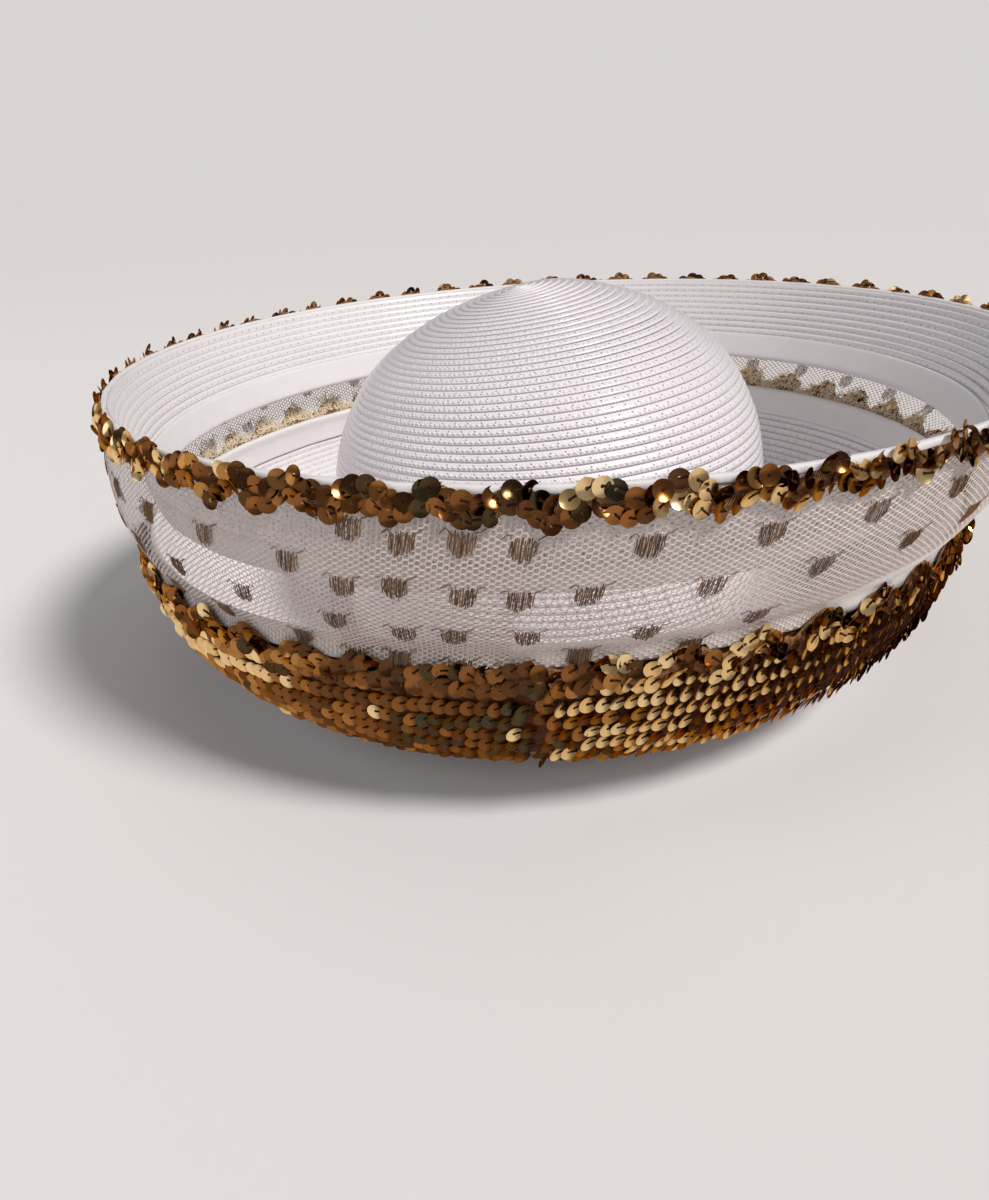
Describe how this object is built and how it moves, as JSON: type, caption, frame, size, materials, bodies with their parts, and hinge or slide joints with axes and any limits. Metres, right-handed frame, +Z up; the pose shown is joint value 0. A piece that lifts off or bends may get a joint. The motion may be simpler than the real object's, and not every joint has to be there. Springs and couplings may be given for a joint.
{
  "type": "church hat",
  "caption": "Formal women's hat with a braid dome crown in a deep upturned brim of braid and dotted net, trimmed with gold sequins; it covers the head.",
  "frame": {"origin": "on the surface that the hat rests on, under the middle of the rim", "axes": "+Z up through the crown, -Y towards the front of the hat, +X to the viewer's right"},
  "size_m": [0.3882, 0.3856, 0.159],
  "materials": {
    "braid": "white sewn braid with a soft sheen",
    "binding": "smooth white satin band",
    "net": "fine white net with gold-brown thread dots",
    "sequins": "mirror gold, bronze and dark sequins"
  },
  "bodies": {
    "root": {"crown": "braid", "lower_brim": "braid", "lower_binding": "binding", "upper_brim": "braid", "upper_binding": "binding", "rim_edge": "binding", "net_band": "net", "sequin_band": "sequins", "lower_trim": "sequins", "rim_trim": "sequins"}
  },
  "joints": []
}
